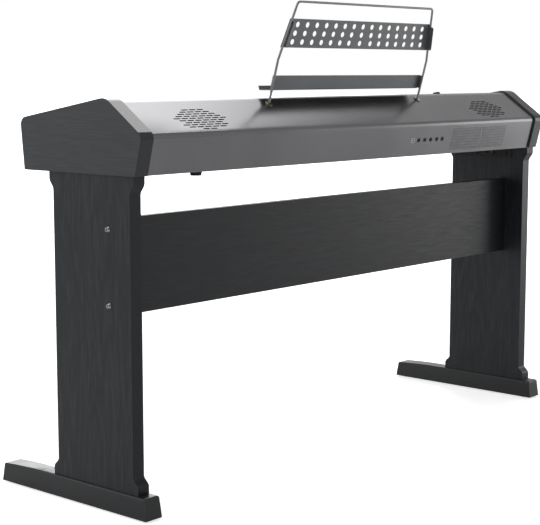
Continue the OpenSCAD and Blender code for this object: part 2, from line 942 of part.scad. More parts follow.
module leg() {
  edge = leg_edge();
  color([0.14, 0.14, 0.15])
    difference() {
      along_x(leg_in, leg_out)
        polygon(concat(
          [for (p = edge) [leg_back + p.x, p.y]],
          reversed([for (p = edge) [-leg_front - p.x, p.y]])
        ));
      for (z = bolt_z)
        x_pin(leg_in - 1, leg_t + 2, modesty_y, z, bolt_d + 2 * screw_clear);
      for (y = cam_y) {
        x_pin(leg_in - 1, cam_depth + 1, y, foot_h + cam_up, cam_d + 2 * screw_clear);
        translate([cam_x, y, foot_h - 1])
          cylinder(h = cam_up, d = dowel_d + 2 * screw_clear);
      }
      for (y = bracket_screw_y)
        x_pin(leg_in - 1, bracket_screw_l + 1.5, y, bracket_screw_z, bracket_screw_d + 2 * screw_clear);
    }
}

module leg_right() {
  leg();
}

module leg_left() {
  mirror([1, 0, 0])
    leg();
}

module foot() {
  tip = 5;
  edge_inset = 4.7;
  low = glide_t;
  curve_start = -leg_front - flare_bottom - 8;
  curve_steps = 6;
  side_pts = concat(
    [[foot_l / 2, low], [foot_l / 2 - tip, foot_h], [curve_start, foot_h]],
    [for (i = [1:curve_steps])
      let (u = i / curve_steps)
      [curve_start + (-foot_l / 2 + tip - curve_start) * u, foot_h - foot_drop * u * u]],
    [[-foot_l / 2, low]]
  );
  n = len(side_pts);
  side_radii = [for (i = [0:n - 1]) i == 1 || i == n - 2 ? 5 : 0];
  color([0.1, 0.1, 0.11])
    difference() {
      intersection() {
        along_x(foot_mid_x - foot_w, foot_mid_x + foot_w)
          polygon(rounded(side_pts, side_radii));
        translate([foot_mid_x, foot_l, 0])
          rotate([90, 0, 0])
            linear_extrude(2 * foot_l)
              polygon(rounded([
                [-foot_w / 2, low], [foot_w / 2, low],
                [foot_w / 2 - edge_inset + 2, foot_h], [-foot_w / 2 + edge_inset - 2, foot_h]
              ], [0, 0, 4, 4]));
      }
      for (y = cam_y)
        translate([cam_x, y, foot_h - dowel_in_foot - 0.5])
          cylinder(h = dowel_in_foot + 1.5, d = dowel_d + 2 * screw_clear);
    }
}

module foot_right() {
  foot();
}

module foot_left() {
  mirror([1, 0, 0])
    foot();
}

module foot_glides() {
  glide_y = foot_l / 2 - 25;
  color([0.05, 0.05, 0.05])
    mirrored_x()
      for (y = [-glide_y, glide_y])
        translate([foot_mid_x, y, 0])
          cylinder(h = glide_t, d = 26);
}

module cam_fittings() {
  color([0.08, 0.08, 0.09])
    mirrored_x()
      for (y = cam_y) {
        difference() {
          x_pin(leg_in, cam_depth, y, foot_h + cam_up, cam_d);
          translate([leg_in - 0.5, y - 4, foot_h + cam_up - 0.8])
            cube([2, 8, 1.6]);
        }
        translate([cam_x, y, foot_h - dowel_in_foot])
          cylinder(h = dowel_in_foot + cam_up - cam_d / 2, d = dowel_d);
      }
}

module modesty_panel() {
  color([0.15, 0.15, 0.16])
    difference() {
      translate([-leg_in, modesty_y - modesty_t / 2, modesty_top - modesty_h])
        cube([2 * leg_in, modesty_t, modesty_h]);
      mirrored_x()
        for (z = bolt_z)
          x_pin(leg_in - bolt_reach - 1, bolt_reach + 2, modesty_y, z, bolt_d + 2 * screw_clear);
    }
}

module panel_bolts() {
  socket_w = 4;
  color([0.7, 0.7, 0.72])
    mirrored_x()
      for (z = bolt_z)
        difference() {
          union() {
            x_pin(leg_in - bolt_reach, bolt_reach + leg_t, modesty_y, z, bolt_d);
            translate([leg_out, modesty_y, z])
              rotate([0, 90, 0])
                cylinder(h = bolt_head_h, d1 = bolt_head_d, d2 = bolt_head_d - 4);
          }
          translate([leg_out + bolt_head_h - 2, modesty_y, z])
            rotate([0, 90, 0])
              cylinder(h = 3, d = socket_w / cos(30), $fn = 6);
        }
}

// ---- Brackets between the legs and the case
bracket_t = 2;
bracket_h = 28;
bracket_w = 27;
bracket_y = [-32, 137];
bracket_screw_y = [-18, 32, 81, 119];
bracket_screw_z = stand_h - 18;
bracket_screw_d = 4;
bracket_screw_l = 16;
bracket_base_y = [7, 100];
bracket_base_x = leg_in - 15;

module bracket_base_holes() {
  mirrored_x()
    for (y = bracket_base_y)
      translate([bracket_base_x, y, stand_h - bracket_t - 1])
        cylinder(h = bracket_t + base_t - 1, d = bracket_screw_d + 2 * screw_clear);
}

module stand_brackets() {
  color([0.07, 0.07, 0.075])
    difference() {
      mirrored_x()
        translate([0, bracket_y[0], 0]) {
          translate([leg_in - bracket_t, 0, stand_h - bracket_h])
            cube([bracket_t, bracket_y[1] - bracket_y[0], bracket_h]);
          translate([leg_in - bracket_w, 0, stand_h - bracket_t])
            cube([bracket_w, bracket_y[1] - bracket_y[0], bracket_t]);
        }
      bracket_base_holes();
      mirrored_x()
        for (y = bracket_screw_y)
          x_pin(leg_in - bracket_t - 1, bracket_t + 2, y, bracket_screw_z, bracket_screw_d + 2 * screw_clear);
    }
}

module bracket_screws() {
  head_d = 9;
  head_h = 2.4;
  color([0.07, 0.07, 0.075])
    mirrored_x() {
      for (y = bracket_screw_y) {
        x_pin(leg_in - bracket_t - head_h, head_h, y, bracket_screw_z, head_d);
        x_pin(leg_in - bracket_t - 0.5, bracket_screw_l, y, bracket_screw_z, bracket_screw_d);
      }
      for (y = bracket_base_y)
        translate([bracket_base_x, y, stand_h - bracket_t - head_h]) {
          cylinder(h = head_h, d = head_d);
          cylinder(h = head_h + bracket_t + base_t - 2.5, d = bracket_screw_d);
        }
    }
}

// ---- Music rest
rest_point = cover_ridge + slope_dir * rest_s;
tube_d = wire_d + 2 * wire_clear + 3;
tube_l = 40;
wire_in = 38;
socket_plate = 2;
wire_r = wire_d / 2;
corner_bend = 9;
knee_bend = 14;
taper = (rest_x - rest_top_x) / (rest_l - rest_bend_l);

// Places children in the plane of the wire: +Y up along the wire, +Z towards the player
module on_rest() {
  translate([0, rest_point.x, rest_point.y])
    rotate([90 - rest_lean, 0, 0])
      children();
}

// Half width between the wires' centres at a length t along the wire
function wire_x(t) = t < rest_bend_l ? rest_x : rest_x - (t - rest_bend_l) * taper;

// A round wire of diameter d that follows a path in the XY plane, as one ring of points at each bend point
module wire_along(path, d, sides = 16) {
  n = len(path);
  rings = [for (i = [0:n - 1])
    let (
      before = unit(path[max(i, 1)] - path[max(i, 1) - 1]),
      after = unit(path[min(i + 1, n - 1)] - path[min(i + 1, n - 1) - 1]),
      across = unit(right_of(before) + right_of(after)),
      stretch = 1 / (across * right_of(after))
    )
    each [for (k = [0:sides - 1])
      let (flat = across * stretch * cos(360 * k / sides) * d / 2)
      [path[i].x + flat.x, path[i].y + flat.y, sin(360 * k / sides) * d / 2]]];
  walls = [for (i = [0:n - 2])
    each [for (k = [0:sides - 1])
      let (next = (k + 1) % sides)
      [i * sides + k, i * sides + next, (i + 1) * sides + next, (i + 1) * sides + k]]];
  start_cap = [[for (k = [sides - 1:-1:0]) k]];
  end_cap = [[for (k = [0:sides - 1]) (n - 1) * sides + k]];
  polyhedron(points = rings, faces = concat(start_cap, walls, end_cap));
}

module rest_frame() {
  bends = [
    [-rest_x, -wire_in], [-rest_x, rest_bend_l], [-rest_top_x, rest_l],
    [rest_top_x, rest_l], [rest_x, rest_bend_l], [rest_x, -wire_in]
  ];
  color([0.45, 0.46, 0.47])
    on_rest()
      wire_along(rounded_path(bends, [0, knee_bend, corner_bend, corner_bend, knee_bend, 0]), wire_d);
}

module rest_sockets() {
  flange_l = 18;
  flange_w = 13;
  color([0.6, 0.55, 0.42])
    mirrored_x()
      difference() {
        union() {
          on_slope(rest_x, rest_s)
            linear_extrude(socket_plate)
              rotate([0, 0, 90])
                oval_2d(flange_l, flange_w);
          on_rest()
            translate([rest_x, -tube_l, 0])
              rotate([-90, 0, 0])
                cylinder(h = tube_l, d = tube_d);
        }
        on_rest()
          translate([rest_x, -wire_in - 0.3, 0])
            rotate([-90, 0, 0])
              cylinder(h = wire_in + 20, d = wire_d + 2 * wire_clear);
      }
}

// Plate with three rows of holes, welded to the front of the wires, and a flange round each wire
module rest_plate() {
  t = rest_sheet_t;
  plate_end = plate_start + plate_h;
  flange_back = 9;
  flange_cut = 3;
  columns = 7;
  column_pitch = 30.9;
  row_step = 18;
  row_shift = 3;
  side_x = wire_r / cos(atan(taper));
  color([0.5, 0.51, 0.52])
    on_rest() {
      translate([0, 0, wire_r])
        linear_extrude(t)
          difference() {
            polygon([
              [-wire_x(plate_start) - side_x, plate_start], [wire_x(plate_start) + side_x, plate_start],
              [wire_x(plate_end) + side_x, plate_end], [-wire_x(plate_end) - side_x, plate_end]
            ]);
            for (row = [-1:1])
              for (i = [-columns:columns])
                translate([i * column_pitch + sign(i) * (1 - row) * row_shift,
                  (plate_start + plate_end) / 2 + row * row_step])
                  circle(d = plate_hole_d);
          }
      mirrored_x()
        translate([wire_x(plate_start), plate_start, 0])
          rotate([0, 0, atan(taper)])
            translate([-wire_r - t, 0, 0])
              rotate([0, 90, 0])
                linear_extrude(t)
                  polygon([
                    [-wire_r - t, flange_cut],
                    [wire_r + flange_back - flange_cut, flange_cut],
                    [wire_r + flange_back, 2 * flange_cut],
                    [wire_r + flange_back, plate_h - 2 * flange_cut],
                    [wire_r + flange_back - flange_cut, plate_h - flange_cut],
                    [-wire_r - t, plate_h - flange_cut]
                  ]);
    }
}

// Bent ledge between the wires: face, shelf and lip, with a flange beside each wire
module rest_ledge() {
  t = rest_sheet_t;
  face_front = 7;
  face_start = 26;
  face_h = 30;
  flange_depth = 9;
  up = [sin(rest_lean), cos(rest_lean)];
  out = [-cos(rest_lean), sin(rest_lean)];
  heel = rest_point + up * face_start + out * face_front;
  lip_dir = [-sin(20), cos(20)];
  toe = heel - [ledge_depth, 0];
  half = rest_x - wire_r;
  color([0.42, 0.43, 0.44]) {
    along_x(-half, half)
      polygon(bent_sheet([toe + lip_dir * lip_h, toe, heel, heel + up * face_h], [0, 1.5, 1.5, 0], t));
    mirrored_x()
      on_rest()
        translate([half - t, face_start + 1, face_front - flange_depth])
          cube([t, face_h - 1, flange_depth - t / 2]);
  }
}

leg_left();
leg_right();
foot_left();
foot_right();
foot_glides();
modesty_panel();
panel_bolts();
cam_fittings();
stand_brackets();
bracket_screws();
cheek_left();
cheek_right();
base_board();
rubber_feet();
top_cover();
control_panel();
key_slip();
end_blocks();
felt_strip();
case_screws();
key_frame();
pivot_rod();
contact_board();
contact_strips();
white_keys_bass();
black_keys_bass();
key_c4();
key_c_sharp4();
key_d4();
key_d_sharp4();
key_e4();
key_f4();
key_f_sharp4();
key_g4();
key_g_sharp4();
key_a4();
key_a_sharp4();
key_b4();
white_keys_treble();
black_keys_treble();
main_board();
panel_board();
usb_socket();
jack_sockets();
dc_socket();
display_window();
speaker_baskets();
speaker_cones();
grille_cloths();
rating_labels();
rest_sockets();
rest_frame();
rest_plate();
rest_ledge();
power_button();
volume_knob();
voice_button();
metronome_button();
minus_button();
plus_button();
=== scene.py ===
import bpy
import math
from mathutils import Matrix, Vector


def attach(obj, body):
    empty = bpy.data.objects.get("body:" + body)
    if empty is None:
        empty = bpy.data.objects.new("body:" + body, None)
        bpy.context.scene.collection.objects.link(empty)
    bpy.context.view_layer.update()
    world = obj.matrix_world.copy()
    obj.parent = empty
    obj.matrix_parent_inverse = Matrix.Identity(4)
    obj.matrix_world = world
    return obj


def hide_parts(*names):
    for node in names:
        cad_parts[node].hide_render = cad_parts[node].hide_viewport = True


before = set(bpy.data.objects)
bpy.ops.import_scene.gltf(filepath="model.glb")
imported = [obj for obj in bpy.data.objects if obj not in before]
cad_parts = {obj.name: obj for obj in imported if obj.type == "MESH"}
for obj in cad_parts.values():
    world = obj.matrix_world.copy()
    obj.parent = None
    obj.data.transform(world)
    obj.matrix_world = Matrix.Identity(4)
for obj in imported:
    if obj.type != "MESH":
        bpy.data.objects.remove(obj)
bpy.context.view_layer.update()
mm = 0.001
creaseAngle = math.radians(32)
print("frame loaded:", len(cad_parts), "nodes")


# small helpers: colour, shader nodes and meshes
def linearColour(hexText):
    # sRGB hex to the linear values that the shader works in
    parts = [int(hexText[i:i + 2], 16) / 255 for i in (1, 3, 5)]
    linear = [c / 12.92 if c <= 0.04045 else ((c + 0.055) / 1.055) ** 2.4 for c in parts]
    return (*linear, 1.0)


def grey(value):
    return (value, value, value, 1.0)


def addNode(tree, kind, inputs=None, **settings):
    # one node with its settings, and each input set to a value or linked to a socket
    made = tree.nodes.new(kind)
    for name, value in settings.items():
        setattr(made, name, value)
    for name, value in (inputs or {}).items():
        if isinstance(value, bpy.types.NodeSocket):
            tree.links.new(value, made.inputs[name])
        else:
            made.inputs[name].default_value = value
    return made


def newMaterial(name, shaderInputs):
    # a Principled surface; patterns are linked to it afterwards
    material = bpy.data.materials.new(name)
    material.use_nodes = True
    tree = material.node_tree
    tree.nodes.clear()
    shader = addNode(tree, "ShaderNodeBsdfPrincipled", shaderInputs)
    addNode(tree, "ShaderNodeOutputMaterial", {"Surface": shader.outputs["BSDF"]})
    return material, tree, shader


def addRamp(tree, value, stops):
    # stops are (position, colour) pairs
    ramp = addNode(tree, "ShaderNodeValToRGB", {"Fac": value})
    band = ramp.color_ramp
    while len(band.elements) > 1:
        band.elements.remove(band.elements[0])
    band.elements[0].position, band.elements[0].color = stops[0]
    for position, colour in stops[1:]:
        band.elements.new(position).color = colour
    return ramp.outputs["Color"]


def addMath(tree, operation, first, second):
    return addNode(tree, "ShaderNodeMath", {0: first, 1: second}, operation=operation).outputs[0]


def newPiece(name, points, faces, material, body, replaced, sharpAngle=35):
    # a mesh in metres, shaded smooth, that rides on a body and stands for a CAD node
    mesh = bpy.data.meshes.new(name)
    mesh.from_pydata(points, [], faces)
    mesh.materials.append(material)
    for face in mesh.polygons:
        face.use_smooth = True
    mesh.set_sharp_from_angle(angle=math.radians(sharpAngle))
    piece = bpy.data.objects.new(name, mesh)
    bpy.context.collection.objects.link(piece)
    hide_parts(replaced)
    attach(piece, body)
    return piece


def planeAt(originMm, tiltDegrees):
    # a plane tilted about X: takes its own millimetres to the row's metres
    place = Matrix.Translation(Vector(originMm) * mm) @ Matrix.Rotation(math.radians(tiltDegrees), 4, "X")
    return lambda x, y, z=0.0: place @ (Vector((x, y, z)) * mm)


def ringFaces(rings, sides):
    # walls between neighbouring closed rings of points
    faces = []
    for low in range(0, (rings - 1) * sides, sides):
        high = low + sides
        for k in range(sides):
            after = (k + 1) % sides
            faces.append((low + k, low + after, high + after, high + k))
    return faces


def capFaces(rings, sides):
    # one flat face over the first ring and one over the last
    return [tuple(reversed(range(sides))), tuple((rings - 1) * sides + k for k in range(sides))]


# melamine laminate pressed against an embossed plate: charcoal, with a soft grain that catches light.
# "along" is the way the grain runs, "face" the way the broad faces look, and "band" the glued edge's colour,
# painted darker on the uprights and the cheeks as painted shade
# the three looks are copies of one laminate painted at three tones as painted light and shade: the cheeks'
# ground lightest for the light from above, the lengthwise boards' darkest as painted shade on their backs
laminateLooks = {
    "upright": {"along": "Z", "face": "X", "ground": "#272a2d", "light": "#35383b", "pore": "#202225",
                "band": "#1b1d20", "roughness": 0.38, "specular": 0.3, "bandRoughness": 0.34},
    "lengthwise": {"along": "X", "face": "Y", "ground": "#1c1f22", "light": "#24272b", "pore": "#181a1d",
                   "band": "#1b1d20", "roughness": 0.38, "specular": 0.36, "bandRoughness": 0.34},
    # the cheek's band is painted much darker than its faces: painted shade on its rear edge over a real edge
    # band
    "cheek": {"along": "Y", "face": "X", "ground": "#303437", "light": "#383c3f", "pore": "#2a2e31",
              "band": "#121416", "roughness": 0.34, "specular": 0.5, "bandRoughness": 0.2},
}
laminateGrain = {"figureMm": 55, "figureStretch": 10, "rings": 9, "poreMm": 1.3, "poreStretch": 40,
                 "depthMm": 0.03, "poreDuller": 0.1, "ridgeGlossier": 0.03}


def woodLaminate(name, look):
    grain = laminateGrain
    material, tree, shader = newMaterial(name, {"IOR": 1.5, "Specular IOR Level": look["specular"]})
    coords = addNode(tree, "ShaderNodeTexCoord").outputs["Object"]

    def stretched(times):
        # the pattern drawn out along the grain
        scale = [1.0, 1.0, 1.0]
        scale["XYZ".index(look["along"])] = 1 / times
        return addNode(tree, "ShaderNodeMapping", {"Vector": coords, "Scale": scale}).outputs["Vector"]

    figure = addNode(tree, "ShaderNodeTexNoise",
                     {"Vector": stretched(grain["figureStretch"]), "Scale": 1 / (grain["figureMm"] * mm),
                      "Detail": 3.0, "Distortion": 0.4})
    rings = addMath(tree, "PINGPONG", addMath(tree, "MULTIPLY", figure.outputs["Fac"], grain["rings"]), 0.5)
    pores = addNode(tree, "ShaderNodeTexNoise",
                    {"Vector": stretched(grain["poreStretch"]), "Scale": 1 / (grain["poreMm"] * mm),
                     "Detail": 4.0, "Roughness": 0.65})
    ridges = addNode(tree, "ShaderNodeMapRange",
                     {"Value": pores.outputs["Fac"], "From Min": 0.4, "From Max": 0.6}).outputs["Result"]
    ringTone = addRamp(tree, rings, [(0.0, linearColour(look["ground"])), (0.5, linearColour(look["light"]))])
    tone = addNode(tree, "ShaderNodeMixRGB",
                   {"Fac": ridges, "Color1": linearColour(look["pore"]), "Color2": ringTone})
    # the narrow sides carry a glued edge band, whose darker colour is partly painted shade on the sides
    # turned from the light
    facing = addNode(tree, "ShaderNodeSeparateXYZ",
                     {"Vector": addNode(tree, "ShaderNodeTexCoord").outputs["Normal"]})
    onFace = addNode(tree, "ShaderNodeMapRange",
                     {"Value": addMath(tree, "ABSOLUTE", facing.outputs[look["face"]], 0.0),
                      "From Min": 0.5, "From Max": 0.8})
    bandAndPaintedShadeTone = addNode(tree, "ShaderNodeMixRGB",
                       {"Fac": pores.outputs["Fac"], "Color1": linearColour(look["band"]),
                        "Color2": linearColour(look["pore"])})
    surface = addNode(tree, "ShaderNodeMixRGB",
                      {"Fac": onFace.outputs["Result"], "Color1": bandAndPaintedShadeTone.outputs["Color"],
                       "Color2": tone.outputs["Color"]})
    tree.links.new(surface.outputs["Color"], shader.inputs["Base Color"])
    faceGloss = addNode(tree, "ShaderNodeMapRange",
                        {"Value": ridges, "To Min": look["roughness"] + grain["poreDuller"],
                         "To Max": look["roughness"] - grain["ridgeGlossier"]})
    gloss = addNode(tree, "ShaderNodeMapRange",
                    {"Value": onFace.outputs["Result"], "To Min": look["bandRoughness"],
                     "To Max": faceGloss.outputs["Result"]})
    tree.links.new(gloss.outputs["Result"], shader.inputs["Roughness"])
    relief = addMath(tree, "ADD", ridges, rings)
    bump = addNode(tree, "ShaderNodeBump",
                   {"Height": relief, "Strength": 0.5, "Distance": grain["depthMm"] * mm})
    tree.links.new(bump.outputs["Normal"], shader.inputs["Normal"])
    return material


def grainedSurface(name, darker, lighter, grainMm, depthMm, shaderInputs, roughSpread=0.06, detail=3.0):
    # a fine even grain in colour, gloss and height, with a slow drift over the piece
    material, tree, shader = newMaterial(name, shaderInputs)
    coords = addNode(tree, "ShaderNodeTexCoord").outputs["Object"]
    grain = addNode(tree, "ShaderNodeTexNoise",
                    {"Vector": coords, "Scale": 1 / (grainMm * mm), "Detail": detail, "Roughness": 0.6})
    drift = addNode(tree, "ShaderNodeTexNoise", {"Vector": coords, "Scale": 9.0, "Detail": 2.0})
    blend = addMath(tree, "MULTIPLY", grain.outputs["Fac"], drift.outputs["Fac"])
    tone = addRamp(tree, blend, [(0.12, linearColour(darker)), (0.38, linearColour(lighter))])
    tree.links.new(tone, shader.inputs["Base Color"])
    base = shaderInputs["Roughness"]
    gloss = addNode(tree, "ShaderNodeMapRange",
                    {"Value": drift.outputs["Fac"], "From Min": 0.3, "From Max": 0.7,
                     "To Min": base - roughSpread, "To Max": base + roughSpread})
    tree.links.new(gloss.outputs["Result"], shader.inputs["Roughness"])
    bump = addNode(tree, "ShaderNodeBump",
                   {"Height": grain.outputs["Fac"], "Strength": 0.6, "Distance": depthMm * mm})
    tree.links.new(bump.outputs["Normal"], shader.inputs["Normal"])
    return material


# steel sheet sprayed with a silver-grey metallic: a smooth sheen with a fine sparkle
metallicPaint = grainedSurface("metallic_paint_sprayed", "#717173", "#79797b", 0.9, 0.006,
                               {"Roughness": 0.25, "Metallic": 0.92, "Coat Weight": 0.1,
                                "Coat Roughness": 0.2}, 0.02)
# sheet with a baked powder coat: mid grey, slight orange peel
powderCoat = grainedSurface("powder_coat_baked", "#66686a", "#727476", 1.1, 0.04,
                            {"Roughness": 0.42, "Metallic": 0.35}, 0.05)
# the same coat on drawn wire, painted lighter than on the sheet as painted highlight for the light the round
# wire catches
wirePaintHighlighted = grainedSurface("powder_coat_on_wire_painted_highlight", "#8b8d8f", "#96989a", 1.1, 0.03,
                           {"Roughness": 0.36, "Metallic": 0.45}, 0.05)
# ABS moulded in a spark-eroded tool: black, dull, with a tight grain
mouldedAbs = grainedSurface("abs_moulded", "#17181a", "#1f2022", 0.7, 0.05,
                            {"Roughness": 0.5, "IOR": 1.54}, 0.06)
# polypropylene feet, moulded and lightly polished: black with a soft highlight
footPlastic = grainedSurface("polypropylene_moulded", "#1c1e20", "#232528", 1.6, 0.01,
                             {"Roughness": 0.4, "IOR": 1.49}, 0.05)
# rubber pads pressed in a hot mould: dead matt
rubber = grainedSurface("rubber_moulded", "#0f0f10", "#191919", 0.8, 0.05, {"Roughness": 0.8, "IOR": 1.52})
# steel fixings barrel plated with bright nickel
nickel = grainedSurface("nickel_plated", "#a7a6a5", "#b7b6b5", 0.6, 0.006,
                        {"Roughness": 0.24, "Metallic": 1.0})
# the rest's sockets, turned from brass and thinly plated, so the yellow shows through
brassNickel = grainedSurface("nickel_over_brass_turned", "#a59c86", "#b9b19c", 0.5, 0.006,
                             {"Roughness": 0.26, "Metallic": 1.0})
# white key tops, moulded and polished: light goes a little way in
ivoryAbs = grainedSurface("abs_polished_white", "#e9e6dd", "#f1eee6", 2.0, 0.006,
                          {"Roughness": 0.2, "IOR": 1.54, "Subsurface Weight": 0.06,
                           "Subsurface Scale": 0.003}, 0.03)
# black key tops, moulded with a satin tool finish
blackKeyAbs = grainedSurface("abs_satin_black", "#0c0c0d", "#141416", 0.6, 0.03,
                             {"Roughness": 0.34, "IOR": 1.54})
# control panel, moulded and sprayed with a satin lacquer
darkPanel = grainedSurface("abs_panel_satin", "#1b1c1e", "#232427", 0.5, 0.03,
                           {"Roughness": 0.42, "IOR": 1.54})
# key frame, moulded in natural grey without a texture
greyPlastic = grainedSurface("abs_grey_moulded", "#6b6d70", "#787a7d", 0.8, 0.03,
                             {"Roughness": 0.45, "IOR": 1.54})
# buttons, moulded in coloured ABS
buttonGrey = grainedSurface("button_abs_grey", "#8a8c8f", "#969899", 0.7, 0.02,
                            {"Roughness": 0.4, "IOR": 1.54})
buttonRed = grainedSurface("button_abs_red", "#7c1416", "#8e1a1c", 0.7, 0.02,
                           {"Roughness": 0.38, "IOR": 1.54})
# the USB socket's body, moulded in nylon
socketWhite = grainedSurface("nylon_white", "#c9cacb", "#d8d9da", 0.8, 0.01,
                             {"Roughness": 0.45, "IOR": 1.53})
# wool felt, dyed and pressed: a deep red nap
felt = grainedSurface("wool_felt_pressed", "#5a0c14", "#7d141d", 0.5, 0.3,
                      {"Roughness": 0.95, "Sheen Weight": 0.5, "Sheen Roughness": 0.5}, 0.02, 6.0)
# circuit boards, curtain coated with solder mask
solderMask = grainedSurface("solder_mask_green", "#0f3b22", "#155030", 2.2, 0.02,
                            {"Roughness": 0.35, "IOR": 1.55})
# contact strips, moulded in translucent silicone
silicone = grainedSurface("silicone_moulded", "#b9b8b0", "#c8c7c0", 1.0, 0.02,
                          {"Roughness": 0.55, "IOR": 1.43, "Subsurface Weight": 0.1,
                           "Subsurface Scale": 0.002})
# the display's pane, cut from smoked acrylic
smokedPane = grainedSurface("acrylic_smoked", "#050607", "#08090b", 3.0, 0.002,
                            {"Roughness": 0.08, "IOR": 1.49, "Coat Weight": 0.5}, 0.01)
# pressed steel, dipped in black paint
basketSteel = grainedSurface("steel_painted_black", "#151516", "#1e1e20", 1.0, 0.02,
                             {"Roughness": 0.45, "Metallic": 0.3})
# speaker cones, felted from paper pulp and pressed
conePaper = grainedSurface("paper_pressed_black", "#0d0d0d", "#171717", 1.5, 0.15,
                           {"Roughness": 0.9}, 0.03, 5.0)

# a wave texture of scale 1 has 20 bands to the unit over its axis, hence bandsPerScale
weave = {"threadMm": 0.9, "dark": "#050505", "light": "#1a1a1b", "depthMm": 0.2, "bandsPerScale": 20}


def speakerCloth():
    # acoustic cloth, plain weave: black, matt, with a visible thread
    material, tree, shader = newMaterial("acoustic_cloth_woven", {"Roughness": 0.95, "Sheen Weight": 0.2})
    coords = addNode(tree, "ShaderNodeTexCoord").outputs["Object"]
    bandScale = 1 / (weave["threadMm"] * mm) / weave["bandsPerScale"]
    across = addNode(tree, "ShaderNodeTexWave", {"Vector": coords, "Scale": bandScale}, bands_direction="X")
    down = addNode(tree, "ShaderNodeTexWave", {"Vector": coords, "Scale": bandScale}, bands_direction="Y")
    threads = addMath(tree, "MULTIPLY", across.outputs["Fac"], down.outputs["Fac"])
    tone = addRamp(tree, threads, [(0.1, linearColour(weave["dark"])), (0.9, linearColour(weave["light"]))])
    tree.links.new(tone, shader.inputs["Base Color"])
    bump = addNode(tree, "ShaderNodeBump",
                   {"Height": threads, "Strength": 0.8, "Distance": weave["depthMm"] * mm})
    tree.links.new(bump.outputs["Normal"], shader.inputs["Normal"])
    return material


labelPrint = {"ground": "#6f6f71", "block": "#67676a", "rule": "#434446", "columnMm": 23, "rowMm": 6.5,
              "lineMm": 0.6, "shift": 0.37}


def ruledLabel():
    # clear polyester film over the paint, with plain ruled blocks and no words: duller than the paint
    kit = labelPrint
    material, tree, shader = newMaterial("polyester_film_printed", {"IOR": 1.57, "Metallic": 0.7})
    coords = addNode(tree, "ShaderNodeTexCoord").outputs["Object"]
    split = addNode(tree, "ShaderNodeSeparateXYZ", {"Vector": coords})
    upright = addNode(tree, "ShaderNodeCombineXYZ", {"X": split.outputs["X"], "Y": split.outputs["Z"]})
    grid = addNode(tree, "ShaderNodeTexBrick",
                   {"Vector": upright.outputs["Vector"], "Scale": 1.0, "Color1": linearColour(kit["ground"]),
                    "Color2": linearColour(kit["block"]), "Mortar": linearColour(kit["rule"]),
                    "Mortar Size": kit["lineMm"] * mm / 2, "Mortar Smooth": 0.2,
                    "Brick Width": kit["columnMm"] * mm, "Row Height": kit["rowMm"] * mm},
                   offset=kit["shift"])
    tree.links.new(grid.outputs["Color"], shader.inputs["Base Color"])
    gloss = addNode(tree, "ShaderNodeMapRange", {"Value": grid.outputs["Fac"], "To Min": 0.3, "To Max": 0.45})
    tree.links.new(gloss.outputs["Result"], shader.inputs["Roughness"])
    return material


legLaminate = woodLaminate("melamine_laminate_upright", laminateLooks["upright"])
boardLaminatePaintedShade = woodLaminate("melamine_laminate_lengthwise_painted_shade", laminateLooks["lengthwise"])
cheekLaminatePaintedLightAndShade = woodLaminate("melamine_laminate_cheek_painted_light_and_shade", laminateLooks["cheek"])
clothMaterial = speakerCloth()
labelMaterial = ruledLabel()
print("materials made:", len(bpy.data.materials))

# CAD nodes that keep their shape: material and the radius in mm that eases the edges, 0 for thin sheet
nodeFinish = {
    "leg_left": (legLaminate, 1.2), "leg_right": (legLaminate, 1.2),
    "cheek_left": (cheekLaminatePaintedLightAndShade, 2.0), "cheek_right": (cheekLaminatePaintedLightAndShade, 2.0),
    "modesty_panel": (boardLaminatePaintedShade, 0.8), "base_board": (boardLaminatePaintedShade, 0.8),
    "foot_left": (footPlastic, 2.5), "foot_right": (footPlastic, 2.5),
    "foot_glides": (rubber, 0.5), "rubber_feet": (rubber, 1.0), "cam_fittings": (mouldedAbs, 0.4),
    "panel_bolts": (nickel, 0.4), "bracket_screws": (basketSteel, 0.4), "case_screws": (nickel, 0.4),
    "pivot_rod": (nickel, 0.2), "stand_brackets": (basketSteel, 0.4),
    "top_cover": (metallicPaint, 0.0), "control_panel": (darkPanel, 0.5),
    "key_slip": (mouldedAbs, 1.2), "end_blocks": (mouldedAbs, 1.5), "felt_strip": (felt, 0.5),
    "key_frame": (greyPlastic, 0.4), "contact_board": (solderMask, 0.2), "main_board": (solderMask, 0.2),
    "panel_board": (solderMask, 0.2), "contact_strips": (silicone, 0.5),
    "usb_socket": (socketWhite, 0.2), "jack_sockets": (mouldedAbs, 0.25), "dc_socket": (mouldedAbs, 0.25),
    "display_window": (smokedPane, 0.3), "rating_labels": (labelMaterial, 0.0),
    "speaker_baskets": (basketSteel, 0.4), "speaker_cones": (conePaper, 0.3),
    "rest_sockets": (brassNickel, 0.5), "rest_plate": (powderCoat, 0.3), "rest_ledge": (powderCoat, 0.3),
    "power_button": (buttonRed, 0.6), "voice_button": (buttonGrey, 0.6),
    "metronome_button": (buttonGrey, 0.6),
    "minus_button": (buttonGrey, 0.6), "plus_button": (buttonGrey, 0.6),
}
whiteKeys = ("key_c4", "key_d4", "key_e4", "key_f4", "key_g4", "key_a4", "key_b4")
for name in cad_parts:
    if name.startswith("white_keys") or name in whiteKeys:
        nodeFinish[name] = (ivoryAbs, 0.9)
    elif name.startswith("black_keys") or "sharp" in name:
        nodeFinish[name] = (blackKeyAbs, 1.1)


